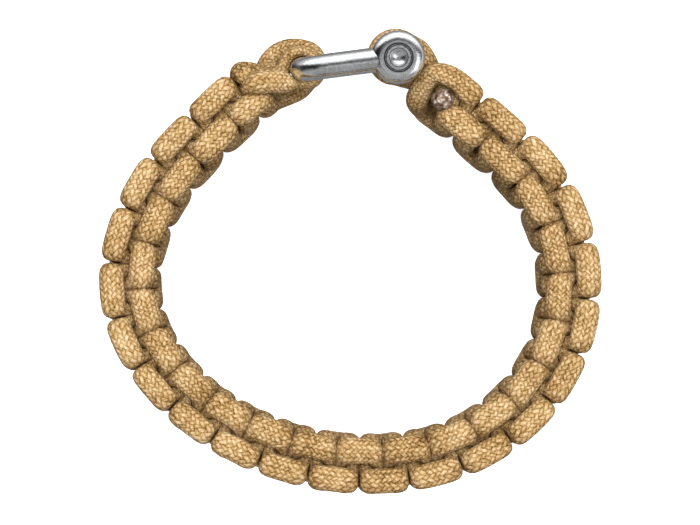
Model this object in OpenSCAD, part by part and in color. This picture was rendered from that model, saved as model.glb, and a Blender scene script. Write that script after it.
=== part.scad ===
// Paracord bracelet: a band of square knots closed by a small screw shackle.
// The bracelet lies on its side, with the wrist opening facing up.

/* [Cord] */
// Diameter of the round cord before it is pulled tight
cord_d = 4; // [3.6:0.1:4.4]
// Half-knots along the band, an even number
knots = 44; // [40:2:48]
// Length of the band that each half-knot takes up, in cord diameters
knot_pitch = 1.115; // [1.1:0.005:1.15]
// Diameter of the melted tips, in cord diameters
tip_size = 0.8; // [0.7:0.02:0.84]

/* [Shackle] */
// Diameter of the rod that the bow is bent from
rod_d = 4.2; // [3.8:0.1:4.4]
// Free height between the two arms
bow_gap = 14.4; // [14:0.2:18]
// Distance from the pin's axis to the middle of the bow's end
bow_reach = 16.6; // [15:0.2:20]
// Radius of the bow's two bends, to the middle of the rod
bow_bend = 4; // [3.4:0.1:5]
// Outside diameter of each eye
eye_d = 9.2; // [8.6:0.1:9.6]
// Height of each eye along the pin
eye_h = 4.4; // [4:0.1:4.8]
// Radius that rounds the eye's outer edges
eye_round = 1.7; // [1:0.1:1.9]
// Diameter of the pin
pin_d = 4.8; // [4.2:0.1:5]
// Diameter of the pin's head
head_d = 7; // [6:0.1:8]
// Height of the pin's head
head_h = 1; // [0.8:0.1:1.4]
// Angle by which the shackle leans outwards towards the floor
lean = 8; // [4:1:10]

/* [Fit] */
// Gap round the pin in its eyes
pin_fit = 0.05; // [0.05:0.01:0.1]
// Gap between the cord and the metal that it goes round
wrap_fit = 0.2; // [0.1:0.05:0.3]
// Gap where two stretches of the cord meet inside the band
split_fit = 0.3; // [0.2:0.05:0.5]

/* [Hidden] */
cord_colour = [0.68, 0.55, 0.38];
metal_colour = [0.78, 0.79, 0.80];
$fn = 64;

// Places on the band are [along, across, out]: along it from its first half-knot, across
// it towards the edge that lies on top, and out from its middle away from the wrist.
pitch = knot_pitch * cord_d;
band_length = knots * pitch;
ACROSS = [0, 1, 0];
OUT = [0, 0, 1];

// The band's middle line from above. Each row is a share of the band's length and its
// turn in degrees, before all the turns are scaled so that the shackle closes the loop.
BENDS = [
    [0.09, 6],
    [0.09, 28],
    [0.05, 23],
    [0.05, 24],
    [0.09, 26],
    [0.18, 41],
    [0.09, 29],
    [0.18, 67],
    [0.09, 32],
    [0.09, 4]
];

// The knots stand closer together along the far side than near the shackle. Each row is
// a share of the knots and the share of the band's length that they take up.
SPACING = [
    [-0.05, -0.05],
    [0, 0],
    [0.11, 0.115],
    [0.23, 0.235],
    [0.57, 0.555],
    [0.82, 0.803],
    [1, 1],
    [1.05, 1.055]
];

// One half-knot of a strand, from the middle of its edge turn to the middle of its bar.
// Columns: along the band in knots, then across, out, half thickness and half
// width of the flattened cord, all four in cord diameters.
HALF_KNOT = [
    [-0.50, -2.08, -0.67, 0.45, 0.58],
    [ 0.17, -2.10, -0.70, 0.51, 0.45],
    [ 0.30, -1.49,  0.00, 0.49, 0.20],
    [ 0.04, -0.72,  0.96, 0.43, 0.49],
    [ 0.00,  0.00,  0.96, 0.43, 0.51]
];
half_rings = len(HALF_KNOT) - 1;
knot_rings = 2 * half_rings;

// The two straight runs inside the band, in cord diameters.
core_across = 0.44;
core_half = 0.37;
core_start = 1.75;

// Where the bow's end and the pin stand at half height: along from the first half-knot
// or past the last one, and out, in cord diameters.
BOW_AT = [-2.14, -0.77];
PIN_AT = [2.35, 0.01];

// Cord pressed flat on metal: half thickness and half width in cord diameters.
flat_half = 0.32;
wide_half = 0.46;

// Stretches of cord by hand. Columns: along, across, out, half thickness, half width, all
// in cord diameters, and the way that the flat side faces.
// The inner strand from inside the band to the bow, over the upper half of the bow's end.
UPPER_TO_BOW = [
    [ 1.75, 0.44, 0.00, 0.37, 0.37, OUT],
    [ 0.75, 0.44, 0.00, 0.37, 0.37, OUT],
    [-0.25, 0.45, 0.00, 0.38, 0.38, OUT],
    [-1.10, 0.62, 0.14, 0.36, 0.44, OUT],
    [-1.75, 0.83, 0.14, 0.33, 0.46, OUT]
];
UPPER_FROM_BOW = [
    [-1.38, 1.92, -1.64, 0.38, 0.46, [0.2, 0.4, -0.9]],
    [-0.92, 2.24, -1.05, 0.36, 0.47, [0, 0.9, -0.4]],
    [-0.44, 2.56, -0.42, 0.32, 0.48, ACROSS],
    [ 0.03, 2.50,  0.08, 0.33, 0.45, ACROSS],
    [ 0.29, 2.00,  0.32, 0.38, 0.29, [0, 1, 0.4]]
];
// Where the outer strand's first bar passes below it.
FIRST_TAIL = [
    [-0.30, 1.32,  0.12, 0.39, 0.25, [0, 1, 0.3]],
    [-0.34, 1.86, -0.58, 0.36, 0.34, [0, 1, -0.3]]
];
// The outer strand from inside the band to the bow and back, lower down and looser.
LOWER_ROUND_BOW = [
    [ 1.75, -0.44,  0.00, 0.37, 0.37, OUT],
    [ 0.75, -0.44,  0.00, 0.37, 0.37, OUT],
    [-0.45, -0.45,  0.02, 0.38, 0.38, OUT],
    [-1.10, -0.46,  0.46, 0.37, 0.45, OUT],
    [-1.80, -0.40,  0.59, 0.34, 0.46, [-0.2, 0, 1]],
    [-2.63, -0.34,  0.27, 0.33, 0.46, [-0.6, 0, 0.9]],
    [-3.15, -0.33, -0.37, 0.32, 0.46, [-1, 0, 0.3]],
    [-3.10, -0.37, -1.13, 0.32, 0.46, [-1, 0, -0.4]],
    [-2.56, -0.52, -1.70, 0.32, 0.46, [-0.4, 0, -1]],
    [-1.80, -0.90, -1.76, 0.36, 0.46, [0.2, -0.2, -1]],
    [-0.98, -1.55, -1.38, 0.40, 0.46, [0.1, -0.6, -0.8]],
    [-0.36, -2.05, -0.78, 0.42, 0.50, [0, -1, -0.5]]
];
// Past the last half-knot, measured from it: the inner strand's last bar is left loose.
LAST_BAR = [
    [ 0.41, -1.97, -0.44, 0.42, 0.34, [0, -1, -0.3]],
    [ 0.54, -1.45,  0.20, 0.41, 0.27, [0, -1, 0.2]],
    [ 0.45, -0.88,  0.80, 0.40, 0.45, [0, -0.6, 1]],
    [ 0.28,  0.00,  0.92, 0.40, 0.48, OUT],
    [ 0.02,  0.86,  0.76, 0.40, 0.42, [0, 0.6, 1]],
    [-0.26,  1.32,  0.17, 0.44, 0.26, [0, 1, 0.4]]
];
// The melted tip of each strand: where its neck and its ball's middle are.
OUTER_TIP = [[-0.24, 1.53, -0.05], [-0.14, 1.96, -0.42]];
INNER_TIP = [[-0.20, 1.62, -0.10], [-0.05, 1.98, -0.57]];
TIP_SHARES = [-0.75, -0.25, 0.3, 0.8];
// The core's end beyond the last half-knot. Columns as above, but the second one is the
// share of the way from the band's middle up to the hitch.
CORE_TO_PIN = [
    [0.15, 0.00,  0.00, 0.38, 0.38, OUT],
    [0.75, 0.12, -0.06, 0.37, 0.38, OUT],
    [1.30, 0.55, -0.25, 0.36, 0.43, [0.2, 0, 1]]
];
// From the pin to the middle of the hitch that lies outside the two runs, measured from
// the pin's axis and from its middle height.
HITCH = [
    [-0.72, 0.56, 0.82, 0.33, 0.42, OUT],
    [-1.20, 0.40, 0.68, 0.33, 0.42, OUT],
    [-1.35, 0.00, 0.62, 0.33, 0.42, OUT]
];
hitch_across = 0.56;

// Arcs of the middle line as [distance, x, y, heading, turn per millimetre].
function arcs(factor, heading, i = 0, s = 0, x = 0, y = 0) =
    i == len(BENDS) ? [[s, x, y, heading, 0]] :
    let (
        run = BENDS[i][0] * band_length,
        rate = factor * BENDS[i][1] / run,
        next = heading + rate * run,
        radius = 180 / PI / rate
    )
    concat(
        [[s, x, y, heading, rate]],
        arcs(factor, next, i + 1, s + run,
            x + radius * (sin(next) - sin(heading)),
            y - radius * (cos(next) - cos(heading)))
    );

// The arc that a distance along the band lies on.
function arc_at(line, s, i = 0) =
    i + 1 < len(line) && s >= line[i + 1][0] ? arc_at(line, s, i + 1) : line[i];

// A place on the band as a point above the floor plan, with the band's middle at height 0.
function place(line, p) =
    let (
        arc = arc_at(line, p[0]),
        d = p[0] - arc[0],
        rate = p[0] < 0 ? 0 : arc[4],
        heading = arc[3] + rate * d,
        radius = rate == 0 ? 0 : 180 / PI / rate,
        x = rate == 0 ? arc[1] + d * cos(heading) : arc[1] + radius * (sin(heading) - sin(arc[3])),
        y = rate == 0 ? arc[2] + d * sin(heading) : arc[2] - radius * (cos(heading) - cos(arc[3]))
    )
    [x + p[2] * sin(heading), y - p[2] * cos(heading), p[1]];

bow_place = [BOW_AT[0] * cord_d, 0, BOW_AT[1] * cord_d];
pin_place = [band_length + PIN_AT[0] * cord_d, 0, PIN_AT[1] * cord_d];

// The distance that is left between the bow's end and the pin for a turn factor.
function opening(factor) =
    let (line = arcs(factor, 0))
    norm(place(line, pin_place) - place(line, bow_place));

// Halves the range of turn factors until the shackle's own reach fits the opening.
function closing(low, high, steps) =
    let (middle = (low + high) / 2)
    steps == 0 ? middle :
    opening(middle) > bow_reach ? closing(middle, high, steps - 1) :
    closing(low, middle, steps - 1);

turn_factor = closing(0.8, 1.08, 24);
// The shackle runs from the bow to the pin at this angle above the x axis.
shackle_slope = 7.5;
first_line = arcs(turn_factor, 0);
bow_to_pin = place(first_line, pin_place) - place(first_line, bow_place);
first_heading = shackle_slope - atan2(bow_to_pin[1], bow_to_pin[0]);
LINE = arcs(turn_factor, first_heading);
last_heading = LINE[len(LINE) - 1][3];

// Ring rows are [centre, half thickness, half width, facing], in millimetres.
function row(r, from = 0) = [
    [from + r[0] * cord_d, r[1] * cord_d, r[2] * cord_d],
    r[3] * cord_d,
    r[4] * cord_d,
    r[5]
];
function half_turned(r) = [
    [r[0][0], -r[0][1], -r[0][2]],
    r[1],
    r[2],
    [r[3][0], -r[3][1], -r[3][2]]
];
function mirrored(r) = [
    [r[0][0], -r[0][1], r[0][2]],
    r[1],
    r[2],
    [r[3][0], -r[3][1], r[3][2]]
];

// The direction away from the core, which the weave's flat sides face.
function away(c) = [0, c[1] - max(-core_across * cord_d, min(core_across * cord_d, c[1])), c[2]];

// Ring k of half-knot n of the outer strand: the second half is the first half reversed,
// and every other half-knot is mirrored across the band.
function weave_row(n, k) =
    let (
        back = k > half_rings,
        r = HALF_KNOT[back ? knot_rings - k : k],
        side = n % 2 == 0 ? 1 : -1,
        way = back ? -1 : 1,
        along = lookup((n + way * r[0]) / knots, SPACING) * band_length,
        c = [along, side * way * r[1] * cord_d, r[2] * cord_d]
    )
    [c, r[3] * cord_d, r[4] * cord_d, away(c)];

function weave(first, last) = [
    for (i = [first : last]) weave_row(floor(i / knot_rings), i % knot_rings)
];

// The melted tip: a ball at the end of a neck.
tip_r = tip_size * cord_d / 2;
function tip_rows(tip) =
    let (
        from = [band_length, 0, 0],
        axis = (tip[1] - tip[0]) / norm(tip[1] - tip[0])
    )
    concat(
        [[from + tip[0] * cord_d, 0.9 * tip_r, 0.8 * tip_r, ACROSS + OUT]],
        [
            for (share = TIP_SHARES)
                let (r = tip_r * sqrt(1 - share * share))
                [from + tip[1] * cord_d + share * tip_r * axis, r, r, ACROSS + OUT]
        ]
    );

// How far the leaning shackle has moved, as a place, at a height above its own middle.
function leaned(height, heading) =
    let (shift = -tan(lean) * height)
    [shift * sin(heading), 0, -shift * cos(heading)];

// Cord round an upright rod: rings between two angles, measured from along towards out.
function wrap(at, heading, r, from, to, low, high, steps) = [
    for (i = [0 : steps])
        let (
            share = i / steps,
            a = from + (to - from) * share,
            across = low + (high - low) * share,
            facing = [cos(a), 0, sin(a)]
        )
        [
            at + leaned(across - shackle_across, heading) + ACROSS * across + facing * r,
            flat_half * cord_d,
            wide_half * cord_d,
            facing
        ]
];

// Heights in the band's own terms: across is 0 at its middle.
arm_height = bow_gap + rod_d;
shackle_h = arm_height + eye_h + 2 * head_h;
bow_wrap_r = rod_d / 2 + wrap_fit + flat_half * cord_d;
pin_wrap_r = pin_d / 2 + wrap_fit + flat_half * cord_d;

function outer_rows() = concat(
    [for (r = LOWER_ROUND_BOW) row(r)],
    weave(1, knot_rings - 3),
    [for (r = FIRST_TAIL) row(r)],
    weave(knot_rings, (knots + 1) * knot_rings - 3),
    tip_rows(OUTER_TIP)
);
function inner_rows() = concat(
    [for (r = UPPER_TO_BOW) row(r)],
    wrap(bow_place, first_heading, bow_wrap_r, 105, 280, 0.98 * cord_d, 1.62 * cord_d, 5),
    [for (r = UPPER_FROM_BOW) row(r)],
    [for (r = weave(2, knots * knot_rings)) half_turned(r)],
    [for (r = LAST_BAR) half_turned(row(r, band_length))],
    [for (r = tip_rows(INNER_TIP)) half_turned(r)]
);
function core_half_rows() = concat(
    [
        [
            [core_start * cord_d + split_fit, core_across * cord_d, 0],
            core_half * cord_d, core_half * cord_d, OUT
        ]
    ],
    [
        for (n = [2 : knots - 1])
            [[n * pitch, core_across * cord_d, 0], core_half * cord_d, core_half * cord_d, OUT]
    ]
);
function to_hitch(side) =
    let (high = shackle_across + side * hitch_across * cord_d)
    concat(
        [
            for (r = CORE_TO_PIN)
                let (
                    q = row(r, band_length),
                    low = side * core_across * cord_d
                )
                [[q[0][0], low + (high - low) * r[1], q[0][2]], q[1], q[2], q[3]]
        ],
        wrap(pin_place, last_heading, pin_wrap_r, -115, 95, high, high, 6)
    );
function hitch_rows() = [
    for (r = HITCH)
        let (q = row(r))
        [q[0] + pin_place + ACROSS * shackle_across, q[1], q[2], q[3]]
];
function reversed(list) = [for (i = [len(list) - 1 : -1 : 0]) list[i]];
function flipped(list, middle) = [
    for (r = list)
        [[r[0][0], 2 * middle - r[0][1], r[0][2]], r[1], r[2], r[3]]
];
function core_rows() =
    let (hitch = hitch_rows())
    concat(
        core_half_rows(),
        to_hitch(1),
        hitch,
        reversed(flipped([for (i = [0 : len(hitch) - 2]) hitch[i]], shackle_across)),
        reversed(to_hitch(-1)),
        reversed([for (r = core_half_rows()) mirrored(r)])
    );

// The corners of every ring, bent along the middle line. A ring stands square to the
// line through its neighbours.
function rings(rows, sides) = [
    for (i = [0 : len(rows) - 1])
        let (
            r = rows[i],
            run = rows[min(i + 1, len(rows) - 1)][0] - rows[max(i - 1, 0)][0],
            tangent = run / norm(run),
            lifted = r[3] - (r[3] * tangent) * tangent,
            face = lifted / norm(lifted),
            side = cross(tangent, face)
        )
        [
            for (j = [0 : sides - 1])
                let (a = 360 * j / sides)
                place(LINE, r[0] + r[1] * cos(a) * face + r[2] * sin(a) * side)
        ]
];

module tube(corners) {
    sides = len(corners[0]);
    last = len(corners) - 1;
    polyhedron(
        points = [for (ring = corners) each ring],
        faces = concat(
            [[for (j = [0 : sides - 1]) j]],
            [
                for (i = [0 : last - 1])
                    for (j = [0 : sides - 1])
                        let (
                            a = i * sides + j,
                            b = i * sides + (j + 1) % sides
                        )
                        each [[a, a + sides, b], [b, a + sides, b + sides]]
            ],
            [[for (j = [sides - 1 : -1 : 0]) last * sides + j]]
        ),
        convexity = 10
    );
}

outer_rings = rings(outer_rows(), 8);
// The band's edge and the rim of the leaning pin's head both reach the floor.
edge_across = -min([for (ring = outer_rings) each [for (p = ring) p[2]]]);
shackle_across = shackle_h / 2 * cos(lean) + head_d / 2 * sin(lean) - edge_across;
inner_rings = rings(inner_rows(), 8);
core_rings = rings(core_rows(), 6);

// The bracelet's middle from above and the lowest point of its strands.
CORNERS = [for (ring = concat(outer_rings, inner_rings, core_rings)) each ring];
XS = [for (p = CORNERS) p[0]];
YS = [for (p = CORNERS) p[1]];
ZS = [for (p = CORNERS) p[2]];
centre = [(min(XS) + max(XS)) / 2, (min(YS) + max(YS)) / 2, min(ZS)];

// The pin's axis at the shackle's middle height.
pin_point = place(LINE, pin_place) + [0, 0, shackle_across];

module outer_strand() {
    color(cord_colour) translate(-centre) tube(outer_rings);
}

module inner_strand() {
    color(cord_colour) translate(-centre) tube(inner_rings);
}

module core_cord() {
    color(cord_colour) translate(-centre) tube(core_rings);
}

// Stands the shackle's own frame, with the bow towards -x, on the band.
module on_shackle() {
    translate(pin_point - centre) rotate([0, 0, shackle_slope]) rotate([lean, 0, 0]) children();
}

module eye(height) {
    translate([0, 0, height - eye_h / 2])
        rotate_extrude() {
            square([eye_d / 2 - eye_round, eye_h]);
            translate([0, eye_round]) square([eye_d / 2, eye_h - 2 * eye_round]);
            for (z = [eye_round, eye_h - eye_round])
                translate([eye_d / 2 - eye_round, z]) circle(eye_round);
        }
}

module arm(height) {
    translate([-bow_reach + bow_bend, 0, height])
        rotate([0, 90, 0])
            cylinder(h = bow_reach - bow_bend, d = rod_d);
}

module bend(up) {
    translate([-bow_reach + bow_bend, 0, up * (arm_height / 2 - bow_bend)])
        rotate([90, 0, 0])
            rotate([0, 0, up > 0 ? 90 : 180])
                rotate_extrude(angle = 90)
                    translate([bow_bend, 0]) circle(d = rod_d);
}

module shackle_bow() {
    color(metal_colour) on_shackle()
        difference() {
            union() {
                for (up = [-1, 1]) {
                    eye(up * arm_height / 2);
                    arm(up * arm_height / 2);
                    bend(up);
                }
                translate([-bow_reach, 0, -arm_height / 2 + bow_bend])
                    cylinder(h = arm_height - 2 * bow_bend, d = rod_d);
            }
            cylinder(h = 2 * shackle_h, d = pin_d + 2 * pin_fit, center = true);
        }
}

// The pin's visible end has a round dish inside a broad raised ring and a narrow groove.
module shackle_pin() {
    top = (arm_height + eye_h) / 2;
    r = pin_d / 2;
    ring_top = top - 0.05;
    dish_r = r * 0.66;
    dish_depth = r * 0.36;
    ball_r = (dish_r * dish_r + dish_depth * dish_depth) / (2 * dish_depth);
    color(metal_colour) on_shackle()
        difference() {
            union() {
                rotate_extrude()
                    polygon([
                        [0, -top - head_h],
                        [r, -top - head_h],
                        [r, top - 0.2],
                        [r * 0.97, top - 0.1],
                        [r * 0.94, top - 0.1],
                        [r * 0.93, top - 0.35],
                        [r * 0.89, top - 0.35],
                        [r * 0.87, ring_top],
                        [0, ring_top]
                    ]);
                translate([0, 0, -top - head_h])
                    cylinder(h = head_h - pin_fit, d = head_d);
            }
            translate([0, 0, ring_top + ball_r - dish_depth]) sphere(ball_r);
        }
}

outer_strand();
inner_strand();
core_cord();
shackle_bow();
shackle_pin();
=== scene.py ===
import math

import bpy
import numpy as np
from mathutils import Matrix, Vector


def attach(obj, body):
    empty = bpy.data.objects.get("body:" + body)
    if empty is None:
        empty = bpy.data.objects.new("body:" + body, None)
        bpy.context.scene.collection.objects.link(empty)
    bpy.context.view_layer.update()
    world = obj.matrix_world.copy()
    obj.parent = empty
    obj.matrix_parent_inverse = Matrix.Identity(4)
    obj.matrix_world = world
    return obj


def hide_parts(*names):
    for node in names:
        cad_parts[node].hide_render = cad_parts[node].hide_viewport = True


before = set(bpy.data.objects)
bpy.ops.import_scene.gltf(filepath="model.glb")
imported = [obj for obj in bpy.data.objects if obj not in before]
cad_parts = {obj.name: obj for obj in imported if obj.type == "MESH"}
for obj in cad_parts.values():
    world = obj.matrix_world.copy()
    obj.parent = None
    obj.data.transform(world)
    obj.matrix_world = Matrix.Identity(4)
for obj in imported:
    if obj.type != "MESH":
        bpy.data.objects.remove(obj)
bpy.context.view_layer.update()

# The shackle's bow: a U of polished stainless rod, forged out into a domed eye at each end.
# The working cords turn round its closed end, and it leans a little outwards as it lies.
# Its solid is right as it is, so it only gets its finish here.
MM = 0.001
ROD_R = 2.1 * MM
BOW_REACH = 16.6 * MM
BOW_BEND = 4 * MM
ARMS_APART = 18.6 * MM
EYE_R = 4.6 * MM
EYE_H = 4.4 * MM
PIN_R = 2.4 * MM
# How the shackle lies: it leans about its own length, and it slopes as seen from above. Its
# middle is halfway along the pin.
SHACKLE_LEAN = math.radians(8)
SHACKLE_SLOPE = math.radians(7.5)
SHACKLE_TURN = Matrix.Rotation(SHACKLE_SLOPE, 3, "Z") @ Matrix.Rotation(SHACKLE_LEAN, 3, "X")
PIN_MIDDLE = Vector((7.920, 35.935, 12.866)) * MM
PIN_AXIS = SHACKLE_TURN @ Vector((0, 0, 1))


class Wire:
    """A socket of a material's nodes. Python's operators on it add Math nodes."""

    def __init__(self, tree, socket):
        self.tree = tree
        self.socket = socket

    def node(self, kind, settings, inputs, output=0):
        made = self.tree.nodes.new(kind)
        for name, value in settings.items():
            if name == "stops":
                ramp = made.color_ramp
                while len(ramp.elements) < len(value):
                    ramp.elements.new(0.5)
                for stop, (place, colour) in zip(ramp.elements, value):
                    stop.position = place
                    stop.color = (*colour, 1)
            else:
                setattr(made, name, value)
        for name, value in inputs.items():
            if isinstance(value, Wire):
                self.tree.links.new(value.socket, made.inputs[name])
            else:
                made.inputs[name].default_value = value
        return Wire(self.tree, made.outputs[output])

    def feeds(self, shader, name):
        self.tree.links.new(self.socket, shader.inputs[name])

    def parts(self, count):
        return [self.node("ShaderNodeSeparateXYZ", {}, {0: self}, k) for k in range(count)]

    def noise(self, scale, detail):
        return self.node(
            "ShaderNodeTexNoise", {}, {"Vector": self, "Scale": scale, "Detail": detail})

    def ramp(self, stops):
        return self.node("ShaderNodeValToRGB", {"stops": stops}, {0: self})

    def bump(self, strength, distance):
        return self.node(
            "ShaderNodeBump", {}, {"Strength": strength, "Distance": distance, "Height": self})

    def mixed(self, low, high):
        return self.node("ShaderNodeMix", {"data_type": "RGBA"}, {0: self, 6: low, 7: high}, 2)

    def ranged(self, low, high, new_low=0.0, new_high=1.0):
        return self.node(
            "ShaderNodeMapRange", {"interpolation_type": "SMOOTHSTEP"},
            {0: self, 1: low, 2: high, 3: new_low, 4: new_high})

    def vector(self, operation, *others, output=0):
        inputs = dict(enumerate((self, *others)))
        return self.node("ShaderNodeVectorMath", {"operation": operation}, inputs, output)

    def maths(self, operation, *values):
        return self.node("ShaderNodeMath", {"operation": operation}, dict(enumerate(values)))

    def __add__(self, other):
        return self.maths("ADD", self, other)

    def __radd__(self, other):
        return self.maths("ADD", other, self)

    def __sub__(self, other):
        return self.maths("SUBTRACT", self, other)

    def __rsub__(self, other):
        return self.maths("SUBTRACT", other, self)

    def __mul__(self, other):
        return self.maths("MULTIPLY", self, other)

    def __rmul__(self, other):
        return self.maths("MULTIPLY", other, self)

    def __truediv__(self, other):
        return self.maths("DIVIDE", self, other)

    def __mod__(self, other):
        return self.maths("FLOORED_MODULO", self, other)

    def __pow__(self, other):
        return self.maths("POWER", self, other)

    def floor(self):
        return self.maths("FLOOR", self)

    def sine(self):
        return self.maths("SINE", self)

    def under(self, limit):
        return self.maths("LESS_THAN", self, limit)

    def absolute(self):
        return self.maths("ABSOLUTE", self)


def source(tree, kind, output):
    """A node that has no inputs, such as a texture coordinate."""
    return Wire(tree, tree.nodes.new(kind).outputs[output])


def new_material(name, **constants):
    """A node material whose fixed values are set on the shader's own sockets."""
    material = bpy.data.materials.new(name)
    material.use_nodes = True
    shader = material.node_tree.nodes["Principled BSDF"]
    for socket, value in constants.items():
        shader.inputs[socket.replace("_", " ")].default_value = value
    return material, material.node_tree, shader


def polished_steel(name, colour, smear, pitting, seams):
    """Bright forged steel with fine hammer marks, a fine grain and dull patches, and painted
    shade that darkens the seams, which are rings round the pin's axis given by radius and width."""
    material, tree, shader = new_material(name, Metallic=1.0)
    place = source(tree, "ShaderNodeTexCoord", "Object")
    dents = place.noise(scale=380.0, detail=3.0)
    grain = place.noise(scale=3000.0, detail=5.0)
    patches = place.noise(scale=260.0, detail=4.0)
    dull_colour = [c * 0.72 for c in colour]
    # Painted shade: near-black rings darken the seams round the pin's axis.
    seam_shade = (0.09, 0.09, 0.10, 1)
    bright = patches.ranged(0.35, 0.7) * 0.5 + grain.ranged(0.42, 0.62) * 0.5
    tint = bright.mixed((*dull_colour, 1), (*colour, 1))
    from_axis = place.vector("SUBTRACT", PIN_MIDDLE).vector("CROSS_PRODUCT", PIN_AXIS)
    from_axis = from_axis.vector("LENGTH", output=1)
    out_of_seam_shade = 1.0
    for radius, width in seams:
        out_of_seam_shade = (from_axis - radius).absolute().ranged(width * 0.5, width) * out_of_seam_shade
    out_of_seam_shade.mixed(seam_shade, tint).feeds(shader, "Base Color")
    rough = smear + patches.ranged(0.3, 0.75) * 0.08 + grain.ranged(0.3, 0.7) * 0.06
    rough.feeds(shader, "Roughness")
    relief = dents + grain * 0.45
    relief.bump(strength=pitting, distance=0.1 * MM).feeds(shader, "Normal")
    return material


def dress(node, material):
    """Gives a solid of the frame its finish."""
    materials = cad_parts[node].data.materials
    materials.clear()
    materials.append(material)


# The bow's one seam, where the pin comes out of the eye, is darkened with painted shade.
ROUND_PIN = PIN_R + 0.05 * MM
dress("shackle_bow", polished_steel(
    "bow_steel", colour=(0.93, 0.94, 0.95), smear=0.11, pitting=0.5,
    seams=[(ROUND_PIN, 0.16 * MM)]))

# The shackle's pin: a turned steel screw through both eyes. Its end in the upper eye shows
# a round dish in a broad ring with a groove about it, all turned in the solid already.
# The groove and the dish's rim are darkened with painted shade.
GROOVE = 0.91 * PIN_R
DISH_RIM = 0.67 * PIN_R
dress("shackle_pin", polished_steel(
    "pin_steel", colour=(0.95, 0.96, 0.97), smear=0.16, pitting=1.0,
    seams=[(GROOVE, 0.10 * MM), (DISH_RIM, 0.08 * MM)]))

# The cord: one length of 4 mm paracord, a braided nylon sheath over loose inner yarns. Two
# straight runs of it are hitched round the pin, turn round the bow and come back as two
# working strands, which are knotted over the runs in flat square knots.
CORD = 4.0 * MM
KNOTS = 44
# Length of the band that a half-knot takes up, in cord diameters.
PITCH = 1.115
BAND = KNOTS * PITCH * CORD
# The band's middle, seen from above, at its first half-knot.
FIRST_PLACE = Vector((-16.996, 30.413, 10.119)) * MM
FIRST_HEADING = math.radians(-138.564)
# The middle line's bends: share of the band's length, and turn in degrees. All are turned
# by the same share of that, which leaves just the gap that the shackle closes.
BENDS = [
    (0.09, 6), (0.09, 28), (0.05, 23), (0.05, 24), (0.09, 26),
    (0.18, 41), (0.09, 29), (0.18, 67), (0.09, 32), (0.09, 4),
]
TURN = 0.9995
# Before the first bend and after the last, the line is an arc that hardly turns.
RUN_ON = 1.0
STRAIGHT = 1e-6
# The knots stand closer along the far side: share of the knots, and of the band's length.
SPACING = [
    (-0.05, -0.05), (0, 0), (0.11, 0.115), (0.23, 0.235),
    (0.57, 0.555), (0.82, 0.803), (1, 1), (1.05, 1.055),
]


def middle_line():
    """Arcs of the band's middle from above: start, x, y, heading and turn a metre."""
    arcs = [(-RUN_ON, FIRST_PLACE.x - RUN_ON * math.cos(FIRST_HEADING),
             FIRST_PLACE.y - RUN_ON * math.sin(FIRST_HEADING), FIRST_HEADING, STRAIGHT)]
    start, x, y, heading = 0.0, FIRST_PLACE.x, FIRST_PLACE.y, FIRST_HEADING
    for share, turn in BENDS:
        run = share * BAND
        rate = TURN * math.radians(turn) / run
        arcs.append((start, x, y, heading, rate))
        after = heading + rate * run
        x += (math.sin(after) - math.sin(heading)) / rate
        y -= (math.cos(after) - math.cos(heading)) / rate
        heading = after
        start += run
    arcs.append((start, x, y, heading, STRAIGHT))
    return np.array(arcs)


MIDDLE = middle_line()
LAST_HEADING = MIDDLE[-1][3]


def on_band(places):
    """Bends places from a straight band onto the real one. They are rows of along the band,
    across it towards the top edge, and out from the wrist. Gives the points, and the
    direction that faces out from the wrist at each."""
    places = np.asarray(places, float)
    which = np.searchsorted(MIDDLE[:, 0], places[:, 0], "right") - 1
    start, x, y, heading, rate = MIDDLE[which].T
    after = heading + rate * (places[:, 0] - start)
    x = x + (np.sin(after) - np.sin(heading)) / rate
    y = y - (np.cos(after) - np.cos(heading)) / rate
    outwards = np.stack([np.sin(after), -np.cos(after), 0 * after], axis=1)
    middle = np.stack([x, y, FIRST_PLACE.z + places[:, 1]], axis=1)
    return middle + outwards * places[:, 2:3], outwards


# One half-knot of a strand from the middle of its edge turn to the middle of its bar:
# along the band in knots, then in millimetres across, out, the cord's radius, and what is
# added to out on the inner strand, whose edge turns make the outer row.
HALF_KNOT = [
    (-0.50, -8.45, -2.60, 2.30, -0.15),
    (-0.24, -8.42, -2.58, 2.28, -0.20),
    (-0.02, -8.22, -2.54, 2.35, -0.25),
    (0.11, -7.60, -2.44, 2.30, -0.30),
    (0.18, -6.75, -2.00, 2.12, -0.30),
    (0.24, -5.95, -1.30, 1.95, -0.20),
    (0.27, -5.28, -0.52, 1.86, -0.10),
    (0.27, -4.75, 0.40, 1.78, 0.00),
    (0.24, -4.35, 1.35, 1.88, 0.00),
    (0.16, -3.85, 2.30, 2.02, 0.00),
    (0.08, -3.05, 3.00, 2.10, 0.00),
    (0.04, -2.05, 3.33, 2.10, 0.00),
    (0.00, 0.00, 3.42, 2.10, 0.00),
]
LAST_ROW = len(HALF_KNOT) - 1
# Rows that a strand has for each half-knot.
KNOT_ROWS = 2 * LAST_ROW
# The cord's radius where it runs loose, round the bow and the pin, along the core, as it
# spreads to the pin, in the hitch, in the necks before the melted tips, and the tips' own.
LOOSE_R = 1.95 * MM
WRAP_R = 2.0 * MM
CORE_R = 1.9 * MM
SPREAD_R = 1.8 * MM
HITCH_R = 1.85 * MM
NECK_R = 1.5 * MM
TIP_R = 1.9 * MM


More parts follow.
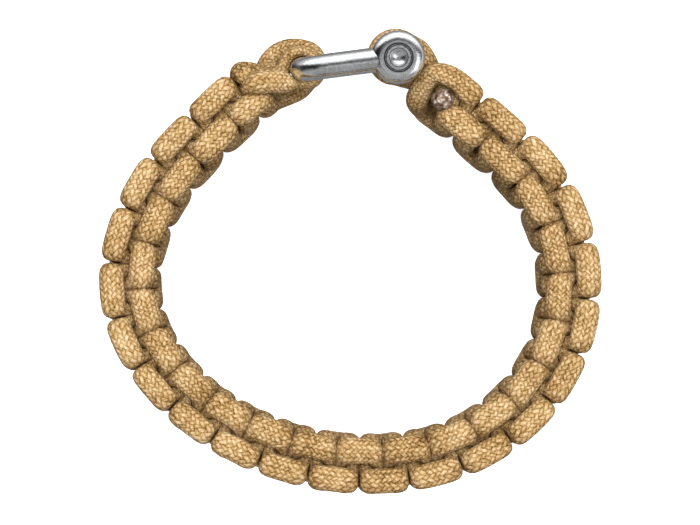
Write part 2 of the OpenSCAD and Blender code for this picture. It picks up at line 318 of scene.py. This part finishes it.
def knot_rows(first, last, outer_row=0):
    """A strand's places over whole half-knots, first and last row included."""
    rows = []
    for i in range(first, last + 1):
        knot, k = divmod(i, KNOT_ROWS)
        back = k > LAST_ROW
        along, across, out, radius, more = HALF_KNOT[KNOT_ROWS - k if back else k]
        side = 1 if knot % 2 == 0 else -1
        way = -1 if back else 1
        share = np.interp((knot + way * along) / KNOTS, *np.transpose(SPACING))
        place = (share * BAND, side * way * across * MM, (out + outer_row * more) * MM)
        rows.append((*place, radius * MM))
    return rows


def in_cords(rows, start=0.0, radius=LOOSE_R):
    """Places given in cord diameters, along from a start."""
    return [(start + a * CORD, b * CORD, c * CORD, radius) for a, b, c in rows]


def half_turned(rows):
    """Places turned half round the band's middle line, from the outer strand to the inner."""
    return [(a, -b, -c, d) for a, b, c, d in rows]


# Where the bow's end and the pin stand at the shackle's own middle height: along and out, in
# cord diameters, from the band's first and last half-knot. Then that height above the band's.
BOW_AT = (-2.14, -0.77)
PIN_AT = (2.35, 0.01)
SHACKLE_ACROSS = 2.747 * MM
# The cord's middle goes round the bow and the pin at these radii, a little flattened.
BOW_WRAP = ROD_R + 1.1 * MM
PIN_WRAP = PIN_R + 1.35 * MM


def wrap(at, start, heading, radius, turns, heights, steps):
    """Places of a cord round an upright, leaning rod, between two angles and heights."""
    rows = []
    for i in range(steps + 1):
        share = i / steps
        angle = math.radians(turns[0] + (turns[1] - turns[0]) * share)
        across = heights[0] + (heights[1] - heights[0]) * share
        lean = -math.tan(SHACKLE_LEAN) * (across - SHACKLE_ACROSS)
        rows.append((
            start + at[0] * CORD + lean * math.sin(heading) + radius * math.cos(angle),
            across,
            at[1] * CORD - lean * math.cos(heading) + radius * math.sin(angle),
            WRAP_R))
    return rows


# The routes are placed one by one inside the first knots, round the bow and at both ends, and
# follow the half-knots in between. Each working strand ends in a neck and its melted tip.
outer_route = (
    in_cords([
        (1.75, -0.44, 0.00),
        (0.75, -0.44, 0.00),
        (-0.45, -0.45, 0.02),
        (-1.10, -0.46, 0.44),
        (-1.80, -0.40, 0.56),
        (-2.60, -0.34, 0.27),
        (-3.09, -0.33, -0.37),
        (-2.98, -0.37, -0.98),
        (-2.50, -0.54, -1.38),
        (-1.82, -0.92, -1.28),
        (-1.04, -1.52, -0.98),
        (-0.38, -2.00, -0.72),
    ])
    + knot_rows(2, KNOT_ROWS - 4)
    + in_cords([
        (0.05, 1.50, 0.56),
        (0.08, 1.72, 0.28),
        (0.02, 1.76, -0.06),
        (-0.08, 1.66, -0.36),
        (-0.06, 1.62, -0.62),
    ])
    + knot_rows(KNOT_ROWS, KNOTS * KNOT_ROWS + KNOT_ROWS - 7)
    + in_cords([(-0.36, 1.45, 0.00), (-0.44, 1.78, -0.16), (-0.49, 2.08, -0.30)], BAND, NECK_R)
)
inner_route = (
    in_cords([
        (1.75, 0.44, 0.00),
        (0.75, 0.44, 0.00),
        (-0.25, 0.45, 0.00),
        (-1.02, 0.60, -0.04),
    ])
    + wrap(BOW_AT, 0.0, FIRST_HEADING, BOW_WRAP,
           turns=(36, 268), heights=(0.84 * CORD, 1.62 * CORD), steps=10)
    + in_cords([
        (-1.46, 1.88, -1.12),
        (-1.00, 2.18, -0.78),
        (-0.54, 2.38, -0.38),
        (-0.16, 2.36, -0.15),
        (0.06, 1.98, -0.06),
        (0.17, 1.62, -0.02),
    ])
    + half_turned(knot_rows(6, KNOTS * KNOT_ROWS, outer_row=1))
    + half_turned(in_cords([
        (0.05, -2.05, -0.58),
        (0.41, -1.92, -0.44),
        (0.54, -1.45, 0.20),
        (0.45, -0.88, 0.80),
        (0.28, 0.00, 0.92),
        (0.02, 0.86, 0.76),
        (-0.22, 1.30, 0.20),
    ], BAND))
    + half_turned(in_cords([(-0.18, 1.62, -0.15), (-0.08, 1.92, -0.50)], BAND, NECK_R))
)


# In cord diameters: how far the core's runs and its turns round the pin lie to each side,
# and where the runs begin, in the ends of the working strands.
RUN_SIDE = 0.44
HITCH_SIDE = 0.56
RUN_START = 1.72


def core_half(side):
    """One straight run, from under the first knots, round the pin and into its hitch."""
    high = SHACKLE_ACROSS + side * HITCH_SIDE * CORD
    low = side * RUN_SIDE * CORD
    rows = [(RUN_START * CORD, low, 0.0, LOOSE_R)]
    rows += [(n / KNOTS * BAND, low, 0.0, CORE_R) for n in range(2, KNOTS)]
    for along, share, out in [(0.15, 0.0, 0.0), (0.75, 0.12, -0.06), (1.30, 0.55, -0.25)]:
        rows.append((BAND + along * CORD, low + (high - low) * share, out * CORD, SPREAD_R))
    rows += wrap(PIN_AT, BAND, LAST_HEADING, PIN_WRAP,
                 turns=(-115, 95), heights=(high, high), steps=8)
    for along, across, out in [(-0.72, 0.56, 0.84), (-1.20, 0.40, 0.70)]:
        rows.append((
            BAND + (PIN_AT[0] + along) * CORD,
            SHACKLE_ACROSS + side * across * CORD,
            (PIN_AT[1] + out) * CORD,
            HITCH_R))
    return rows


HITCH_MIDDLE = (
    BAND + (PIN_AT[0] - 1.35) * CORD, SHACKLE_ACROSS, (PIN_AT[1] + 0.64) * CORD, HITCH_R)
core_route = core_half(1) + [HITCH_MIDDLE] + core_half(-1)[::-1]

# The cords' sections stand this far apart, and have this many sides.
STEP = 0.42 * MM
SIDES = 26
# Points of the curve between two rows of a route, and sections between two drawn wavers.
CURVE_POINTS = 12
WAVER_STEPS = 12
random = np.random.default_rng(7)


def between(p, q, start, end, t):
    return (end - t) / (end - start) * p + (t - start) / (end - start) * q


def smooth_path(route, waver):
    """A soft curve through a route's rows, evenly stepped, with a hand-tied waver."""
    rows = np.asarray(route, float)
    rows = np.vstack([2 * rows[0] - rows[1], rows, 2 * rows[-1] - rows[-2]])
    gaps = np.linalg.norm(np.diff(rows[:, :3], axis=0), axis=1) ** 0.5
    fine = []
    for i in range(1, len(rows) - 2):
        t0, t1, t2, t3 = np.cumsum([0.0, gaps[i - 1], gaps[i], gaps[i + 1]])
        t = np.linspace(t1, t2, CURVE_POINTS, endpoint=False)[:, None]
        p0, p1, p2, p3 = rows[i - 1:i + 3]
        a1 = between(p0, p1, t0, t1, t)
        a2 = between(p1, p2, t1, t2, t)
        a3 = between(p2, p3, t2, t3, t)
        b1 = between(a1, a2, t0, t2, t)
        b2 = between(a2, a3, t1, t3, t)
        fine.append(between(b1, b2, t1, t2, t))
    fine = np.vstack(fine + [rows[-2:-1]])
    steps = np.linalg.norm(np.diff(fine[:, :3], axis=0), axis=1)
    length = np.concatenate([[0], np.cumsum(steps)])
    even = np.linspace(0, length[-1], int(round(length[-1] / STEP)) + 1)
    path = np.stack([np.interp(even, length, fine[:, k]) for k in range(4)], axis=1)
    wander = random.normal(size=(len(path) // WAVER_STEPS + 3, 4))
    at = np.arange(len(path)) / WAVER_STEPS
    for k in range(4):
        path[:, k] += waver * np.interp(at, np.arange(len(wander)), wander[:, k])
    for _ in range(4):
        path[1:-1] = path[1:-1] * 0.5 + (path[:-2] + path[2:]) * 0.25
    return path


def mirrored(vector, normal):
    return vector - normal * (2 / normal.dot(normal)) * normal.dot(vector)


def carried_frames(points):
    """Tangents, and two directions across the cord that don't twist along it."""
    tangents = np.gradient(points, axis=0)
    tangents /= np.linalg.norm(tangents, axis=1)[:, None]
    first = np.cross(tangents[0], (0.3, 0.2, 1.0))
    sides = [first / np.linalg.norm(first)]
    for i in range(1, len(points)):
        step = points[i] - points[i - 1]
        turned = mirrored(sides[-1], step)
        # The first mirroring turns the tangent round, and the second puts it right.
        left_over = tangents[i] - mirrored(tangents[i - 1], step)
        if left_over.dot(left_over) > 1e-14:
            turned = mirrored(turned, left_over)
        sides.append(turned)
    sides = np.array(sides)
    return tangents, sides, np.cross(tangents, sides)


def hard_points(tips):
    """Places less than a millimetre apart along the axes of the metal, and the melted tips,
    with their radii."""
    half, low = ARMS_APART / 2, ARMS_APART / 2 - BOW_BEND
    ring = EYE_R - EYE_H / 2
    axis = [(-BOW_REACH, 0, z, ROD_R) for z in np.linspace(-low, low, 24)]
    for way in (-1, 1):
        for angle in np.radians(np.arange(0, 91, 6)):
            axis.append((
                -BOW_REACH + BOW_BEND - BOW_BEND * math.cos(angle), 0,
                way * (low + BOW_BEND * math.sin(angle)), ROD_R))
        axis += [(x, 0, way * half, ROD_R) for x in np.linspace(-BOW_REACH + BOW_BEND, 0, 24)]
        for angle in np.radians(np.arange(0, 360, 15)):
            axis.append((ring * math.cos(angle), ring * math.sin(angle), way * half, EYE_H / 2))
    axis += [(0, 0, z, PIN_R) for z in np.linspace(-half, half, 40)]
    axis = np.array(axis)
    middle, _ = on_band([(BAND + PIN_AT[0] * CORD, SHACKLE_ACROSS, PIN_AT[1] * CORD)])
    places = axis[:, :3] @ np.array(SHACKLE_TURN).T + middle
    return np.vstack([places, tips]), np.append(axis[:, 3], [TIP_R] * len(tips))


# Half the band's thickness and width, where the pull of the knots flattens the cord, and
# where along the band that pull begins.
FACE = 5.2 * MM
EDGE = 10.1 * MM
KNOTS_FROM = 0.6 * CORD
# Further across than this lie the two rows of edge turns. They stay apart, and the outer
# row stands out a little less than the bars do.
ROW = 7.0 * MM
TURN_FACE = 4.7 * MM
# How far cords stay from the plane midway between them: before this place on the band, in
# the outer row of turns, which starts this far across and out, and elsewhere.
BEFORE_BAND = -0.6 * CORD
BOW_GAP = 0.18 * MM
OUTER_ROW_ACROSS = 6 * MM
OUTER_ROW_OUT = 0.8 * MM
OUTER_ROW_GAP = 0.30 * MM
CORD_GAP = 0.06 * MM
# How far they stay from metal.
METAL_GAP = 0.03 * MM
# The most and the least that a section reaches from its middle, the nearest that a wall
# comes to it, and the nearest that a wall opposite metal comes.
MOST = 2.75 * MM
LEAST = 0.8 * MM
NEAREST = 0.4 * MM
NEAREST_OPPOSITE = 1.0 * MM
# A cord doesn't press on its own next stretch of this length, nor on one that it joins, and
# metal presses only on places outside this share of its radius.
OWN_LENGTH = 5.5 * MM
JOIN = 0.6 * MM
IN_METAL = 0.6
# Turns sharper than this, in radians a metre, pinch the cord to this share of their radius.
SHARP = 60
PINCH = 0.85
# A wall that a direction meets at less than this cosine doesn't limit it.
GRAZING = 0.02
# The higher this power, the sharper the corner between the round of a cord and its flats.
CORNER = 8.0


def cord_walls(centre, points, own, gap):
    """The planes midway to the cords near a place, as directions and distances."""
    apart = points - centre
    span = np.sqrt((apart ** 2).sum(1))
    near = (span < 2 * MOST) & (span > JOIN) & ~own
    return apart[near] / span[near, None], span[near] / 2 - gap


def metal_walls(centre, hard, hard_r):
    """The metal and tips near a place, and walls opposite them that keep the cord even."""
    apart = hard - centre
    span = np.sqrt((apart ** 2).sum(1))
    near = (span < MOST + hard_r) & (span > IN_METAL * hard_r)
    facing = apart[near] / span[near, None]
    room = span[near] - hard_r[near] - METAL_GAP
    return np.vstack([facing, -facing]), np.append(room, np.maximum(room, NEAREST_OPPOSITE))


def knot_walls(height, out, outwards):
    """The band's faces and edges, and a wall between its two rows of edge turns."""
    in_row = abs(height) > ROW
    directions = [outwards, -outwards, [0, 0, -1.0], [0, 0, 1.0]]
    limits = [(TURN_FACE if in_row else FACE) - out, FACE + out, EDGE + height, EDGE - height]
    if in_row:
        directions.append(-outwards * np.sign(out))
        limits.append(abs(out))
    return directions, limits


def filled(reach, area):
    """Sections of this area: round where they are free, and cut off softly by their walls."""
    low, high = np.full(len(reach), LEAST), np.full(len(reach), MOST)
    for _ in range(18):
        middle = (low + high) / 2
        small = (np.minimum(middle[:, None], reach) ** 2).mean(1) * math.pi < area
        low = np.where(small, middle, low)
        high = np.where(small, high, middle)
    free = ((low + high) / 2)[:, None]
    shape = (free ** -CORNER + reach ** -CORNER) ** (-1 / CORNER)
    for _ in range(3):
        shape = shape * 0.5 + (np.roll(shape, 1, 1) + np.roll(shape, -1, 1)) * 0.25
        shape[1:-1] = shape[1:-1] * 0.5 + (shape[:-2] + shape[2:]) * 0.25
    return shape


def pressed_sections(places, paths, frames, tips):
    """Each cord's reach in every direction: round where it is free, flat where it is
    pressed by another cord, by metal, by the floor, by the knots' pull or its own bend."""
    angles = np.arange(SIDES) * 2 * math.pi / SIDES
    points = np.vstack([path for path, _ in paths])
    strand = np.concatenate([np.full(len(path), i) for i, (path, _) in enumerate(paths)])
    order = np.concatenate([np.arange(len(path)) for path, _ in paths])
    hard, hard_r = hard_points(tips)
    own_steps = int(OWN_LENGTH / STEP)
    results = []
    for number, (path, outwards) in enumerate(paths):
        tangents, across, up = frames[number]
        rays = (
            np.cos(angles)[None, :, None] * across[:, None, :]
            + np.sin(angles)[None, :, None] * up[:, None, :])
        bend = np.gradient(tangents, axis=0) / STEP
        along, height, out, radius = places[number].T
        gap = np.where(along < BEFORE_BAND, BOW_GAP, CORD_GAP)
        gap[(out > OUTER_ROW_OUT) & (abs(height) > OUTER_ROW_ACROSS)] = OUTER_ROW_GAP
        reach = np.full((len(path), SIDES), MOST)
        for i, centre in enumerate(path):
            own = (strand == number) & (abs(order - i) < own_steps)
            walls = [cord_walls(centre, points, own, gap[i])]
            if len(path) - i > own_steps:
                walls.append(metal_walls(centre, hard, hard_r))
            curve = np.linalg.norm(bend[i])
            if curve > SHARP:
                walls.append((bend[i][None] / curve, [PINCH / curve]))
            walls.append(([[0, 0, -1.0]], [centre[2]]))
            if KNOTS_FROM < along[i] < BAND:
                walls.append(knot_walls(height[i], out[i], outwards[i]))
            directions, limits = zip(*walls)
            facing = rays[i] @ np.vstack(directions).T
            limit = np.maximum(np.concatenate(limits), NEAREST)
            room = np.where(facing > GRAZING, limit / np.maximum(facing, GRAZING), MOST)
            reach[i] = np.minimum(reach[i], room.min(1))
        results.append((filled(reach, math.pi * radius ** 2), rays))
    return results


places = [smooth_path(outer_route, 0.05 * MM), smooth_path(inner_route, 0.05 * MM),
          smooth_path(core_route, 0.03 * MM)]
paths = [on_band(p[:, :3]) for p in places]
frames = [carried_frames(p) for p, _ in paths]
tips = [paths[0][0][-1], paths[1][0][-1]]
sections = pressed_sections(places, paths, frames, tips)

# Cord that lies on the floor stays this far above it.
ABOVE_FLOOR = 0.02 * MM


def cord_mesh(name, path, shape, rays):
    """A closed tube whose UV map holds the share of the way round and the metres along."""
    rings, sides = shape.shape
    points = (path[:, None] + rays * shape[:, :, None]).reshape(-1, 3)
    points[:, 2] = np.maximum(points[:, 2], ABOVE_FLOOR)
    points = np.vstack([points, path[:1], path[-1:]])
    faces, spots = [], []
    for i in range(rings - 1):
        here, there = i * STEP, (i + 1) * STEP
        for j in range(sides):
            k = (j + 1) % sides
            faces.append((i * sides + j, i * sides + k, (i + 1) * sides + k, (i + 1) * sides + j))
            u, v = j / sides, (j + 1) / sides
            spots += [(u, here), (v, here), (v, there), (u, there)]
    end = rings * STEP
    for j in range(sides):
        k = (j + 1) % sides
        faces.append((len(points) - 2, k, j))
        faces.append((len(points) - 1, (rings - 1) * sides + j, (rings - 1) * sides + k))
        u, v = j / sides, (j + 1) / sides
        spots += [(u, 0), (v, 0), (u, 0), (u, end), (u, end), (v, end)]
    mesh = bpy.data.meshes.new(name)
    mesh.from_pydata(points.tolist(), [], faces)
    layer = mesh.uv_layers.new(name="sheath")
    layer.data.foreach_set("uv", np.array(spots, dtype=np.float32).ravel())
    mesh.polygons.foreach_set("use_smooth", [True] * len(mesh.polygons))
    mesh.update()
    made = bpy.data.objects.new(name, mesh)
    bpy.context.collection.objects.link(made)
    return made


# Yarns of the braid each way, and how far along the cord one yarn's width takes it. A yarn
# floats over two others and then dives under two, so the braid repeats every four.
YARNS = 16.0
YARN_STEP = 0.76 * MM
FLOAT = 2.0
REPEAT = 4.0


def braided_sheath():
    """The sheath: sixteen yarns each way, each passing over two and under two, so that
    slanting floats stand in columns along the cord and mirror each other."""
    material, tree, shader = new_material(
        "braided_sheath", Roughness=0.6, Specular_IOR_Level=0.14)
    around, along = source(tree, "ShaderNodeUVMap", "UV").parts(2)
    right = around * YARNS + along / YARN_STEP
    left = around * YARNS - along / YARN_STEP
    right_yarn, left_yarn = right.floor(), left.floor()
    over = ((right_yarn + left_yarn) % REPEAT).under(FLOAT - 0.5)
    # Along and across the float that lies on top, both from 0 to 1.
    right_run = ((right_yarn + left) % REPEAT) / FLOAT
    left_run = ((left_yarn + right + FLOAT) % REPEAT) / FLOAT
    run = over * right_run + (1.0 - over) * left_run
    side = over * (right % 1.0) + (1.0 - over) * (left % 1.0)
    crown = 1.0 - ((side - 0.5).absolute() * 2.0) ** 3.4
    rise = run.maths("MAXIMUM", (run * math.pi).sine(), 0.0) ** 0.8
    height = crown * rise
    # Each float has a shade of its own, worn patches run over many, and hairs over all.
    float_number = over.node(
        "ShaderNodeCombineXYZ", {}, {0: right_yarn, 1: left_yarn, 2: over * 7.0})
    lot = float_number.node(
        "ShaderNodeTexWhiteNoise", {"noise_dimensions": "3D"}, {"Vector": float_number})
    place = source(tree, "ShaderNodeTexCoord", "Object")
    worn = place.noise(scale=110.0, detail=3.0)
    hairs = place.noise(scale=3400.0, detail=3.0)
    # The float's height lightens its crown, a painted highlight, and darkens the gaps between
    # yarns, painted shade; each float's own shade, worn patches and hairs vary the yarn's tone.
    light = (0.185 + height * 0.33 + (lot - 0.5) * 0.26
             + (worn - 0.5) * 0.45 + (hairs - 0.5) * 0.85)
    # The ramp runs from near-black painted shade between yarns to the pale painted highlight on
    # the crowns.
    colour = light.ramp([
        (0.0, (0.055, 0.026, 0.007)),
        (0.25, (0.23, 0.130, 0.043)),
        (0.50, (0.405, 0.270, 0.126)),
        (0.75, (0.56, 0.43, 0.280)),
        (1.0, (0.82, 0.74, 0.60)),
    ])
    colour.feeds(shader, "Base Color")
    relief = height + (hairs - 0.5) * 0.35 + (lot - 0.5) * 0.25
    relief.bump(strength=0.8, distance=0.16 * MM).feeds(shader, "Normal")
    return material


sheath = braided_sheath()
STANDS_FOR = {"outer_cord": "outer_strand", "inner_cord": "inner_strand", "core": "core_cord"}
for (name, solid), (path, _), (shape, rays) in zip(STANDS_FOR.items(), paths, sections):
    piece = cord_mesh(name, path, shape, rays)
    piece.data.materials.append(sheath)
    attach(piece, "root")
    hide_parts(solid)

# The melted tips: each strand's end is cut, melted and pressed into a greyish brown bead
# that keeps it from slipping back through the last knot.
burnt, tree, shader = new_material("melted_nylon")
blotch = source(tree, "ShaderNodeTexCoord", "Object").noise(scale=1300.0, detail=5.0)
char = blotch.ramp([
    (0.32, (0.030, 0.015, 0.009)),
    (0.47, (0.12, 0.075, 0.050)),
    (0.58, (0.32, 0.245, 0.20)),
    (0.70, (0.72, 0.66, 0.60)),
])
char.feeds(shader, "Base Color")
blotch.ranged(0.3, 0.7, 0.25, 0.55).feeds(shader, "Roughness")
blotch.bump(strength=1.0, distance=0.4 * MM).feeds(shader, "Normal")

# The share of a tip's radius above which it is pressed.
PRESSED_FROM = 0.75
for name, middle in zip(("outer_tip", "inner_tip"), tips):
    bpy.ops.object.select_all(action="DESELECT")
    bpy.ops.mesh.primitive_ico_sphere_add(subdivisions=4, radius=TIP_R, location=middle)
    tip = bpy.context.object
    tip.name = name
    bpy.ops.object.transform_apply(location=True, rotation=True, scale=True)
    bpy.ops.object.mode_set(mode="EDIT")
    bpy.ops.mesh.select_all(action="SELECT")
    bpy.ops.transform.vertex_random(offset=0.30 * MM, uniform=0.0, normal=1.0, seed=5)
    bpy.ops.mesh.vertices_smooth(factor=0.5, repeat=3)
    bpy.ops.mesh.select_all(action="DESELECT")
    bpy.ops.object.mode_set(mode="OBJECT")
    # The top is pressed a little flat, as against a table while it is still soft.
    for vertex in tip.data.vertices:
        vertex.select = vertex.co.z > middle[2] + PRESSED_FROM * TIP_R
    bpy.ops.object.mode_set(mode="EDIT")
    bpy.ops.transform.resize(value=(1.06, 1.06, 0.55))
    bpy.ops.object.mode_set(mode="OBJECT")
    soften = tip.modifiers.new("soften", "SUBSURF")
    soften.levels = soften.render_levels = 1
    bpy.ops.object.modifier_apply(modifier=soften.name)
    bpy.ops.object.shade_smooth()
    tip.data.materials.append(burnt)
    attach(tip, "root")

# The floor: a plain pale sheet that the bracelet lies on. It glows a little, so that it is
# even, and neither the cord nor the steel is lit by it or reflects it.
bpy.ops.object.select_all(action="DESELECT")
bpy.ops.mesh.primitive_plane_add(size=3.0)
floor = bpy.context.object
floor.name = "floor"
paper, _, _ = new_material(
    "paper", Base_Color=(0.93, 0.93, 0.93, 1), Roughness=0.9,
    Emission_Color=(1, 1, 1, 1), Emission_Strength=0.6)
floor.data.materials.append(paper)
floor.visible_diffuse = False
floor.visible_glossy = False

# Soft studio light: a wide panel overhead for the cord, and a surround for the steel to
# reflect. It is grey in front, dark overhead and at the left end, and white behind the
# shackle, with one streak to the right and a glow from below, as of a pale table.
world = bpy.data.worlds.new("studio")
bpy.context.scene.world = world
world.use_nodes = True
tree = world.node_tree
beside, behind, height = source(tree, "ShaderNodeTexCoord", "Generated").parts(3)
level = (behind * 0.5 + 0.5).ramp([
    (0.0, (0.10, 0.10, 0.105)),
    (0.04, (0.36, 0.36, 0.37)),
    (0.31, (0.38, 0.38, 0.39)),
    (0.36, (0.62, 0.62, 0.63)),
    (0.42, (0.40, 0.40, 0.41)),
    (0.54, (0.11, 0.11, 0.115)),
    (0.62, (0.18, 0.18, 0.185)),
    (0.68, (0.50, 0.50, 0.51)),
    (0.78, (1.40, 1.40, 1.40)),
])
left_end = beside.ranged(-0.55, -0.20, 1.0, 0.0) * behind.absolute().ranged(0.3, 0.5, 1.0, 0.0)
streak = (beside.ranged(0.30, 0.42) * beside.ranged(0.78, 0.90, 1.0, 0.0)
          * behind.ranged(-0.65, -0.5) * behind.ranged(-0.1, 0.0, 1.0, 0.0))
above = height.ranged(-0.05, 0.05)
table = (1.0 - above) * (1.0 - left_end * 0.85) * height.ranged(-0.6, -0.1, 0.25, 0.75)
glow = (level * (1.0 - left_end * 0.9) + streak) * above + table
glow.feeds(tree.nodes["Background"], "Color")

light = bpy.data.lights.new("key", "AREA")
light.shape = "RECTANGLE"
light.size = light.size_y = 0.9
light.energy = 17.0
panel = bpy.data.objects.new("key", light)
bpy.context.collection.objects.link(panel)
panel.location = (0.0, 0.1, 0.9)
panel.rotation_euler = (-panel.location).to_track_quat("-Z", "Y").to_euler()
panel.visible_glossy = False

# The camera: nearly straight above, 40 cm up, a little to the left of the loop's middle
# and nearer to its front, as in the photograph.
EYE_HEIGHT = 400 * MM
# From the place under the camera to the first half-knot.
TO_FIRST_KNOT = Vector((-10.80, 45.81, 0)) * MM
# The photograph, in its pixels: its width, the lens's focal length, the scale near the
# band's top edge, and its middle as seen from the place under the camera.
IMAGE_WIDTH = 700
FOCAL_LENGTH = 2204
PIXELS_A_MM = 5.8
IMAGE_MIDDLE = (35, 85.5)
TOP_EDGE = 20 * MM
SENSOR = 36.0
foot = FIRST_PLACE - TO_FIRST_KNOT
eye = Vector((foot.x, foot.y, EYE_HEIGHT))
target = Vector((
    foot.x + IMAGE_MIDDLE[0] / PIXELS_A_MM * MM,
    foot.y + IMAGE_MIDDLE[1] / PIXELS_A_MM * MM,
    TOP_EDGE))
lens = bpy.data.cameras.new("camera")
lens.sensor_width = SENSOR
lens.lens = FOCAL_LENGTH / IMAGE_WIDTH * SENSOR
lens.clip_start = 0.01
camera = bpy.data.objects.new("camera", lens)
bpy.context.collection.objects.link(camera)
back = (eye - target).normalized()
side = Vector((0, 1, 0)).cross(back).normalized()
camera.matrix_world = Matrix.Translation(eye) @ Matrix(
    (side, back.cross(side), back)).transposed().to_4x4()
bpy.context.scene.camera = camera
bpy.context.scene.view_settings.view_transform = "Standard"
